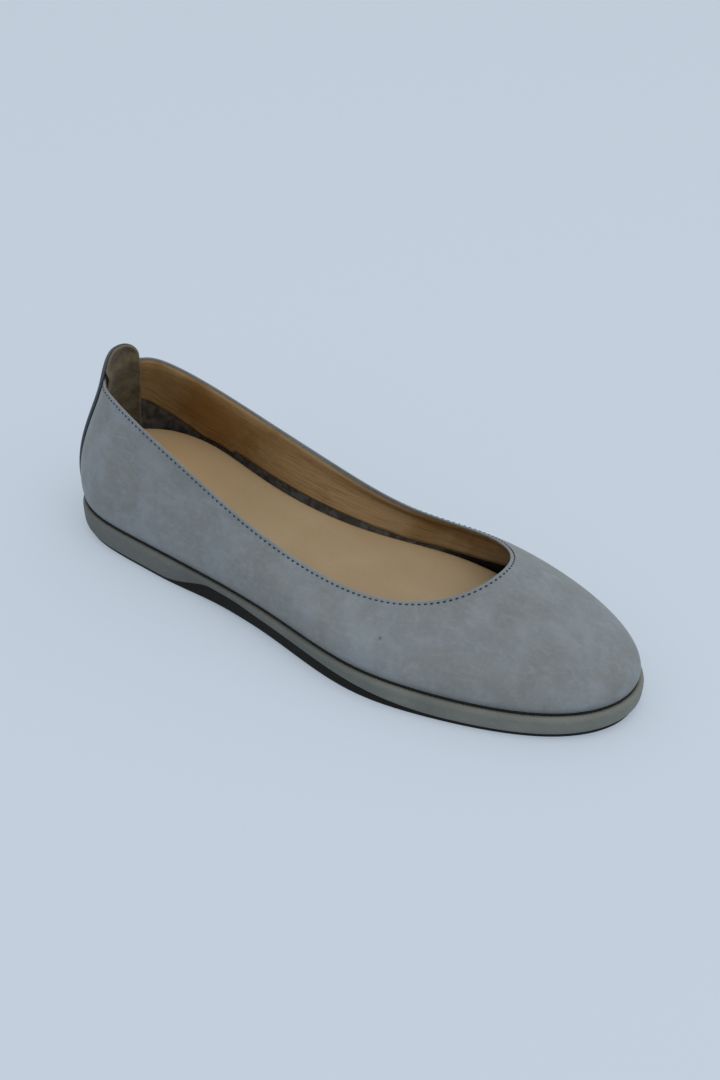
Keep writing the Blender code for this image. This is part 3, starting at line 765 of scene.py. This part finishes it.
edge_angle = np.linspace(0, np.pi, EDGE_STEPS + 1)[1:-1, None, None]
edge_rings = (
    outer_face[-1]
    + EDGE_ROUND * np.sin(edge_angle) * outer_slope[-1]
    - (WALL - SKIVE) / 2 * (1 - np.cos(edge_angle)) * outer_normal[-1]
)
inner_shares = np.linspace(0, 1, INNER_ROWS)[1:, None]
inner_lower = inner_edge[-1] + (rib_end - inner_edge[-1]) * inner_shares
below_inner = np.concatenate([np.broadcast_to(inner_edge, (len(inner_edge), AROUND)), inner_lower])
inner_face, _, inner_normal = upper_face(angle, shares_below(angle, below_inner))
inner_rings = inner_face - wall_at(below_inner)[..., None] * inner_normal
inner_rings[-1, :, 2] = outer_rings[0, :, 2]
upper_rings = np.concatenate([outer_rings, edge_rings, inner_rings])
below_mark = np.concatenate([below_outer, np.zeros((EDGE_STEPS - 1, AROUND)), below_inner])
far_rows = np.full((EDGE_STEPS - 1 + len(below_inner), AROUND), FAR_ABOVE)
above_mark = np.concatenate([rib_end - below_outer, far_rows])
nubuck_rows = len(outer_rings) + EDGE_STEPS - 1 + FOLDED_ROWS
upper_slots = np.array([0] * nubuck_rows + [1] * (len(upper_rings) - nubuck_rows))
upper_marks = {"below": below_mark, "above": above_mark}
upper_shell = ring_mesh(
    "upper_shell", upper_rings, [nubuck, dark_cloth_and_shade], True, upper_slots, upper_marks
)
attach(upper_shell, "root")
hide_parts("upper")

# Footbed. A padded sock of smooth tan leather, thick at the heel and thin at the toe, cupped
# along its middle. Its rounded edge stands a little inside the wall of the upper.
FOOTBED_HEEL = 0.0155
FOOTBED_TOE = 0.0026
FOOTBED_CUP = 0.0012
FOOTBED_EDGE = 0.0005
FOOTBED_INSET = 0.0060
FOOTBED_ROUND = 0.0009
CUP_REACH = 0.45
LEAST_CLIMB = 1e-7
SIDE_SHARES = (0.3, 0.6, 0.85)
ROUND_STEPS = 7
TOP_SHARES = (0.03, 0.07, 0.12, 0.18, 0.26, 0.35, 0.45, 0.58, 0.72, 0.86, 0.97)
TOP_DRAW = 0.01
RIM_SPREAD = 0.03

# rise: 1 for the footbed's thickness at the heel, 0 for that at the toe
FOOTBED = {
    "station": (0.0, 0.10, 0.20, 0.30, 0.45, 0.60, 0.75, 0.90, 1.0),
    "rise": (1.0, 1.0, 0.97, 0.81, 0.48, 0.19, 0.04, 0.0, 0.0),
}
# way: share of half a turn from the back to the toe; share: of the footbed's largest inset
FOOTBED_OUTLINE = {
    "way": (0.0, 0.125, 0.25, 0.375, 0.50, 0.5625, 0.625, 0.75, 1.0),
    "share": (0.33, 0.36, 0.21, 0.24, 0.32, 0.40, 0.78, 1.0, 0.60),
}


def footbed_top(y):
    """The upper's seat plus the toe thickness and a share of what the heel has more."""
    rise = column(FOOTBED, "rise", station_of(y))
    return sole_top(y) + UPPER_SEAT + FOOTBED_TOE + (FOOTBED_HEEL - FOOTBED_TOE) * rise


def inside_ring(angle, depth, height):
    """The ring a depth inside the upper's outer face, where each rib passes its height."""
    shares = np.linspace(0, 1, RIB_STEPS + 1)[:, None]
    face, _, normal = upper_face(angle, shares)
    shell = face - depth * normal
    climbs = np.maximum.accumulate(shell[..., 2]) + LEAST_CLIMB * np.arange(len(shell))[:, None]
    row = np.clip(crossing(climbs, height[None]), 0, len(shell) - 1)
    ring = read_at(shell, row)[0]
    ring[:, 2] = height
    return ring


def centre_line(ring):
    """The x halfway across a ring, at each of its points."""
    half = len(ring) // 2
    across = (ring + np.roll(ring[::-1], 1, axis=0)) / 2
    return np.interp(ring[:, 1], across[half::-1, 1], across[half::-1, 0])


smooth_tan = Finish("smooth_tan", 0.44, Specular_IOR_Level=0.38, Coat_Weight=0.05)
smooth_tan.set("Coat Roughness", 0.35)
broad = smooth_tan.between(smooth_tan.noise(0.035, 2.0, warp=0.4), 0.35, 0.65)
leather = smooth_tan.mix(broad, paint(154, 130, 99), paint(160, 138, 107))
fleck = smooth_tan.between(smooth_tan.noise(0.0016, 3.0, 0.6), 0.52, 0.75)
leather = smooth_tan.mix(fleck * 0.14, leather, paint(116, 94, 66))
# Painted shade: the footbed darker along its rim, where it meets the upper's wall.
bed_edge = smooth_tan.between(smooth_tan.mark("rim"), 0.0022, 0.0)
leather = smooth_tan.mix(bed_edge * 0.45, leather, paint(110, 88, 62))
# Painted light: the footbed paler towards the heel, where more light falls on it.
heel_painted_light = smooth_tan.between(smooth_tan.place_y(), 0.045, 0.105)
leather = smooth_tan.mix(heel_painted_light * 0.9, leather, paint(198, 168, 128))
smooth_tan.set("Base Color", leather)
smooth_tan.set("Roughness", smooth_tan.noise(0.0040, 3.0) * 0.12 + 0.38)
pores = smooth_tan.node(
    "ShaderNodeTexVoronoi", {}, {"Vector": smooth_tan.place(), "Scale": 1 / 0.0009}
)
smooth_tan.relief(pores * 0.00002 + smooth_tan.noise(0.0140, 2.0) * 0.00012)

ways = np.pi * np.asarray(FOOTBED_OUTLINE["way"])
inset = FOOTBED_INSET * mirrored_spline(ways, FOOTBED_OUTLINE["share"], fold_of(angle))
bed_depth = (WALL + GAP + inset)[:, None]
bed_low = sole_top(line_y) + UPPER_SEAT
bed_high = footbed_top(line_y)
bed_rings = [inside_ring(angle, bed_depth + FOOTBED_EDGE, bed_low)]
for share in SIDE_SHARES:
    climb = bed_low + (bed_high - FOOTBED_ROUND - bed_low) * share
    bed_rings.append(inside_ring(angle, bed_depth, climb))
shoulder = inside_ring(angle, bed_depth, bed_high - FOOTBED_ROUND)
rim_marks = [0.0] * len(bed_rings)
for step in np.linspace(0, np.pi / 2, ROUND_STEPS):
    ring = shoulder.copy()
    x, y = push_out(shoulder[:, 0], shoulder[:, 1], -FOOTBED_ROUND * (1 - np.cos(step)))
    ring[:, 0] = x
    ring[:, 1] = y
    ring[:, 2] += FOOTBED_ROUND * np.sin(step)
    bed_rings.append(ring)
    rim_marks.append(FOOTBED_ROUND * (1 - np.cos(step)))
bed_edge_ring = bed_rings[-1]
edge_centre = centre_line(bed_edge_ring)
for inwards in TOP_SHARES:
    ring = bed_edge_ring.copy()
    ring[:, 0] = edge_centre + (bed_edge_ring[:, 0] - edge_centre) * (1 - inwards)
    ring[:, 1] *= 1 - TOP_DRAW * inwards
    dip = np.clip(inwards / CUP_REACH, 0, 1)
    ring[:, 2] -= FOOTBED_CUP * dip**2 * (3 - 2 * dip)
    bed_rings.append(ring)
    rim_marks.append(FOOTBED_ROUND + RIM_SPREAD * inwards)
bed_marks = {"rim": np.array(rim_marks)[:, None]}
footbed = ring_mesh("footbed", bed_rings, [smooth_tan], False, None, bed_marks)
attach(footbed, "root")
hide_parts("insole")

# Lining. A band of thin tan leather glued inside the topline under the nubuck's fold. It ends
# above the footbed round the back and under the vamp, and is creased lengthwise.
LINING_TOP = 0.0005
LINING_TOP_THROAT = 0.0014
LINING_NEAR = 0.00025
LINING_FAR = 0.00003
LINING_ROWS = 20
LEAST_LINING = 0.0060
BED_LEAN = 1.03
STAIN = (0.0255, 0.0800, 0.0400)

# way: share of half a turn from the back to the throat; lift: how far above the footbed the
# lining's lower edge stays, in millimetres
# Where the lining stops high, round the back and near the throat, the dark cloth below shows as painted
# shade.
LINING_EDGE = {
    "way": (0.0, 0.10, 0.13, 0.17, 0.21, 0.24, 0.30, 0.31, 0.40, 0.47, 0.53, 0.60, 0.63, 0.68, 1.0),
    "lift": (15.5, 15.0, 12.5, 8.0, 3.0, 0.0, 0.0, 2.6, 2.6, 1.6, -0.8, -0.8, 0.8, 3.0, 3.0),
}

tan_lining = Finish("tan_lining", 0.60, Specular_IOR_Level=0.30)
drawn_out = {
    "Vector": tan_lining.node("ShaderNodeUVMap", {"uv_map": "section"}, {}),
    "Scale": (0.18, 1, 1),
}
drawn = tan_lining.node("ShaderNodeMapping", {"vector_type": "POINT"}, drawn_out)
pulls = tan_lining.noise(0.0022, 3.0, 0.55, drawn, 0.5)
stains = tan_lining.between(tan_lining.noise(0.020, 3.0, 0.6), 0.40, 0.66)
hide = tan_lining.mix(stains, paint(142, 114, 78), paint(124, 92, 50))
stained = tan_lining.between(tan_lining.distance(STAIN), 0.022, 0.004)
hide = tan_lining.mix(stained * 0.7, hide, paint(128, 86, 30))
hide = tan_lining.mix(tan_lining.between(pulls, 0.48, 0.70) * 0.35, hide, paint(96, 70, 38))
tan_lining.set("Base Color", hide)
tan_lining.relief(pulls * 0.00035 + tan_lining.noise(0.0009, 2.0) * 0.00003)

bed_climb = (footbed_top(line_y) - sole_top(line_y) - UPPER_SEAT) * BED_LEAN
lining_way = fold_of(angle) / np.pi
lift = np.interp(lining_way, LINING_EDGE["way"], LINING_EDGE["lift"]) / 1000
lining_top = np.interp(lining_way, (0.35, 0.55), (LINING_TOP, LINING_TOP_THROAT))
lining_low = np.maximum(rib_end - bed_climb - lift, lining_top + LEAST_LINING)
lining_rows = np.linspace(0, 1, LINING_ROWS)[:, None]
below_lining = lining_top + (lining_low - lining_top) * lining_rows
lining_face, _, lining_normal = upper_face(angle, shares_below(angle, below_lining))
lining_wall = wall_at(below_lining)[..., None]
near_foot = lining_face - (lining_wall + LINING_NEAR) * lining_normal
near_wall = lining_face - (lining_wall + LINING_FAR) * lining_normal
lining_rings = np.concatenate([near_wall[::-1], near_foot])
lining_band = ring_mesh("lining_band", lining_rings, [tan_lining], True)
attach(lining_band, "root")

# Topline stitches. One row of dark navy thread all round, just below the folded edge, each
# stitch pulled a little into the leather.
STITCH_PITCH = 0.0023
STITCH_LENGTH = 0.00118
STITCH_THICK = 0.00068
STITCH_SIDES = 6
STITCH_RINGS = 5
STITCH_RISE = 0.00003
THREAD_STEP = 0.0002

navy_thread = Finish("navy_thread", 0.62, Specular_IOR_Level=0.30)
twist = navy_thread.between(navy_thread.noise(0.0004, 2.0), 0.40, 0.60)
navy_thread.set("Base Color", navy_thread.mix(twist, paint(24, 31, 47), paint(40, 50, 72)))


def stitch_row(name, path, out, finish):
    """Capsules along a closed path: a round section that swells to the middle of each stitch.

    The path is walked at even pitches; each capsule lies along it, sunk to its middle.
    """
    line = np.concatenate([path, path[:1]])
    facing = np.concatenate([out, out[:1]])
    walk = np.concatenate([[0], np.cumsum(np.linalg.norm(np.diff(line, axis=0), axis=1))])
    count = int(round(walk[-1] / STITCH_PITCH))
    at = (np.arange(count) + 0.5) * walk[-1] / count

    def walked(values, places):
        return np.stack([np.interp(places, walk, axis) for axis in values.T], -1)

    ahead = walked(line, at + THREAD_STEP)
    behind = walked(line, at - THREAD_STEP)
    up = unit(walked(facing, at))
    forwards = unit(ahead - behind)
    across = unit(np.cross(up, forwards))
    swell = np.linspace(-1, 1, STITCH_RINGS)[:, None]
    girth = STITCH_THICK / 2 * np.sqrt(1.05 - np.abs(swell) ** 2.5)
    turn = full_turn(STITCH_SIDES)[None]
    lengthwise = np.broadcast_to(swell * STITCH_LENGTH / 2, (STITCH_RINGS, STITCH_SIDES)).ravel()
    sideways = (girth * np.cos(turn)).ravel()
    upwards = (girth * np.sin(turn)).ravel()
    centre = (ahead + behind) / 2
    points = (
        centre[:, None]
        + lengthwise[None, :, None] * forwards[:, None]
        + sideways[None, :, None] * across[:, None]
        + upwards[None, :, None] * up[:, None]
    )
    size = STITCH_RINGS * STITCH_SIDES
    starts = (np.arange(count) * size)[:, None]
    quads = ring_faces(STITCH_RINGS, STITCH_SIDES, False)[None] + starts[:, :, None]
    first = np.arange(STITCH_SIDES)[::-1][None] + starts
    last = np.arange(STITCH_SIDES)[None] + starts + size - STITCH_SIDES
    faces = quads.reshape(-1, 4).tolist() + first.tolist() + last.tolist()
    return add_mesh(name, points + ROW_SHIFT, faces, [finish])


stitch_shares = shares_below(angle, np.array([[STITCH_DROP]]))
seam_face, _, seam_normal = upper_face(angle, stitch_shares)
seam_path = seam_face[0] + (STITCH_RISE - GROOVE_DEPTH) * seam_normal[0]
topline_stitches = stitch_row("topline_stitches", seam_path, seam_normal[0], navy_thread)
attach(topline_stitches, "root")

# Backstay. A nubuck strip sewn over the back seam, whose upper end runs past the topline
# as the outer layer of a rounded pull tab. Its cut edges are darker, a navy grey.
STAY_WIDTH = 0.0300
TAB_WIDTH = 0.0212
STAY_THICKNESS = 0.0012
STAY_START = 0.0016
STAY_CORNER = 0.0040
TAB_RISE = 0.0106
TAB_CORNER = 0.0098
TAB_BLEND = 0.0035
STRIP_ROUND = 0.0008
STRIP_EDGE = 0.35
STRIP_TURN = 1440
STRIP_COLUMNS = 49
STRIP_ROWS = 42
CORNER_ROWS = 14
BACK_SPREAD = 0.01


def corner_steps(radius):
    """Distances from the end of a strip through its rounded corner."""
    return radius * (1 - np.cos(np.linspace(0, np.pi / 2, CORNER_ROWS)))


def strip_plan(start, width, square):
    """A strip up the back seam as distances along it, half widths and distances to its edge.

    It narrows evenly from its width at the start to the tab's at the topline, and its ends
    have round corners, apart from a square start.
    """
    seam = rib_lengths(np.array([-BACK_SPREAD, 0.0, BACK_SPREAD]))[:, 1]
    first = start + (np.zeros(1) if square else corner_steps(STAY_CORNER))
    end = seam[-1] + TAB_RISE
    last = end - corner_steps(TAB_CORNER)[::-1]
    middle = np.linspace(first[-1], last[0], STRIP_ROWS)[1:-1]
    place = np.concatenate([first, middle, last])
    full = np.interp(place, [start, seam[-1]], [width / 2, TAB_WIDTH / 2])
    in_top = np.clip((end - place) / TAB_CORNER, 0, 1)
    half = full - TAB_CORNER * (1 - np.sqrt(1 - (1 - in_top) ** 2))
    if not square:
        in_low = np.clip((place - start) / STAY_CORNER, 0, 1)
        half = half - STAY_CORNER * (1 - np.sqrt(1 - (1 - in_low) ** 2))
    across = np.sin(np.linspace(-1, 1, STRIP_COLUMNS) * np.pi / 2)[:, None]
    sideways = np.abs(across) * half

    def to_end(length, radius):
        """Distance in from a rounded end: past both corner lines it is measured from them."""
        side_past = sideways - (full - radius)
        end_past = radius - length
        corner = np.hypot(np.maximum(side_past, 0), np.maximum(end_past, 0))
        return radius - corner - np.minimum(np.maximum(side_past, end_past), 0)

    margin = to_end(end - place[None], TAB_CORNER)
    if not square:
        margin = np.minimum(margin, to_end(place[None] - start, STAY_CORNER))
    return place, seam, half, across, np.maximum(margin, 0)


def heel_strip(place, seam, half, across, offset):
    """Points over the back of the upper, moved off its face by an offset for each one.

    A row stands at each distance along the seam. Past the topline it goes on along the
    surface's own slope.
    """
    around = np.linspace(-np.pi, np.pi, STRIP_TURN, endpoint=False)
    total = seam[-1]
    shares = np.interp(place, total - seam[::-1], np.linspace(0, 1, len(seam)))
    face, slope, normal = upper_face(around, shares[:, None])
    beyond = np.maximum(place - total, 0)[:, None, None]
    near = np.abs(around) < np.pi / 4
    plain_x = face[:, near, 0][:, ::-1].T
    centre = face[:, STRIP_TURN // 2, 0]
    row = crossing(plain_x, centre + half * across)
    table = (face + beyond * slope[-1])[:, near][:, ::-1].transpose(1, 0, 2)
    normals = normal[:, near][:, ::-1].transpose(1, 0, 2)
    return read_at(table, row) + offset[..., None] * read_at(normals, row)


def strip_mesh(name, inner, outer, finishes, margin, plan):
    """A closed strip between two grids of points, the outer one facing out of the shoe."""
    columns, rows = inner.shape[:2]
    index = np.arange(columns * rows).reshape(columns, rows)
    here = np.stack([index[:-1, :-1], index[1:, :-1], index[1:, 1:], index[:-1, 1:]], -1)
    lower = here.reshape(-1, 4)
    upper = lower[:, ::-1] + columns * rows
    rim = np.concatenate([index[:, 0], index[-1, 1:], index[-2::-1, -1], index[0, -2:0:-1]])
    ahead = np.roll(rim, -1)
    walls = np.stack([ahead, rim, rim + columns * rows, ahead + columns * rows], -1)
    faces = np.concatenate([upper, lower, walls])
    points = np.concatenate([inner.reshape(-1, 3), outer.reshape(-1, 3)])
    made = add_mesh(name, points + ROW_SHIFT, faces.tolist(), finishes)
    values = np.concatenate([margin.ravel(), margin.ravel()])
    made.data.attributes.new("margin", "FLOAT", "POINT").data.foreach_set("value", values)
    flat = np.concatenate([plan.reshape(-1, 2), plan.reshape(-1, 2)])[faces.ravel()]
    made.data.uv_layers.new(name="section").data.foreach_set("uv", flat.ravel())
    return made


def rounded(margin, thickness):
    """A thickness that falls to its share at the edge over a quarter round along the margin."""
    share = np.clip(margin / STRIP_ROUND, 0, 1)
    edge = STRIP_EDGE * thickness
    return edge + (thickness - edge) * np.sqrt(1 - (1 - share) ** 2)


strip_nubuck, strip_skin = nubuck_finish("strip_nubuck")
# Darker, navy grey along the strip's cut edges.
edge_dark = strip_nubuck.between(strip_nubuck.mark("margin"), 0.0009, 0.0001)
strip_skin = strip_nubuck.mix(edge_dark * 0.85, strip_skin, paint(58, 66, 78))
strip_nubuck.set("Base Color", strip_skin)

place, seam, half, across, margin = strip_plan(STAY_START, STAY_WIDTH, False)
stay_plan = np.stack(np.broadcast_arrays(across * half, place), -1)
stay_inner = heel_strip(place, seam, half, across, np.full(margin.shape, GAP))
stay_far = GAP + rounded(margin, STAY_THICKNESS)
stay_outer = heel_strip(place, seam, half, across, stay_far)
backstay_strip = strip_mesh("backstay_strip", stay_inner, stay_outer, [strip_nubuck], margin, stay_plan)
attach(backstay_strip, "root")
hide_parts("backstay")

# Heel grip. A strip of olive-brown suede glued inside the back down to the footbed, which keeps
# the heel from slipping; its upper end is the inner layer of the pull tab, with a pale cut edge.
GRIP_THICKNESS = 0.0010
GRIP_WIDTH = 0.0376

olive_suede = Finish("olive_suede", 0.95, Specular_IOR_Level=0.18, Sheen_Weight=0.15)
olive_suede.set("Sheen Roughness", 0.5)
rubbed = olive_suede.between(olive_suede.noise(0.0050, 4.0, 0.65), 0.38, 0.66)
suede = olive_suede.mix(rubbed, paint(70, 60, 45), paint(97, 88, 70))
cut_edge = olive_suede.between(olive_suede.mark("margin"), 0.0007, 0.0001)
olive_suede.set("Base Color", olive_suede.mix(cut_edge * 0.5, suede, paint(120, 112, 94)))
olive_suede.relief(olive_suede.noise(0.0009, 4.0, 0.70) * 0.00014)

bed_at_back = footbed_top(FEATHER_LENGTH / 2) + 2 * GAP
grip_start = bed_at_back - (sole_top(FEATHER_LENGTH / 2) + UPPER_SEAT)
place, seam, half, across, margin = strip_plan(float(grip_start), GRIP_WIDTH, True)
grip_plan = np.stack(np.broadcast_arrays(across * half, place), -1)
past_fold = np.clip((place - seam[-1] - EDGE_ROUND - GAP) / TAB_BLEND, 0, 1)
tab_share = past_fold**2 * (3 - 2 * past_fold)
grip_far = np.broadcast_to((WALL + GAP) * (tab_share - 1), margin.shape)
grip_outer = heel_strip(place, seam, half, across, grip_far)
grip_near = grip_far - rounded(margin, GRIP_THICKNESS)
grip_inner = heel_strip(place, seam, half, across, grip_near)
grip_strip = strip_mesh("grip_strip", grip_inner, grip_outer, [olive_suede], margin, grip_plan)
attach(grip_strip, "root")
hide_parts("heel_grip")
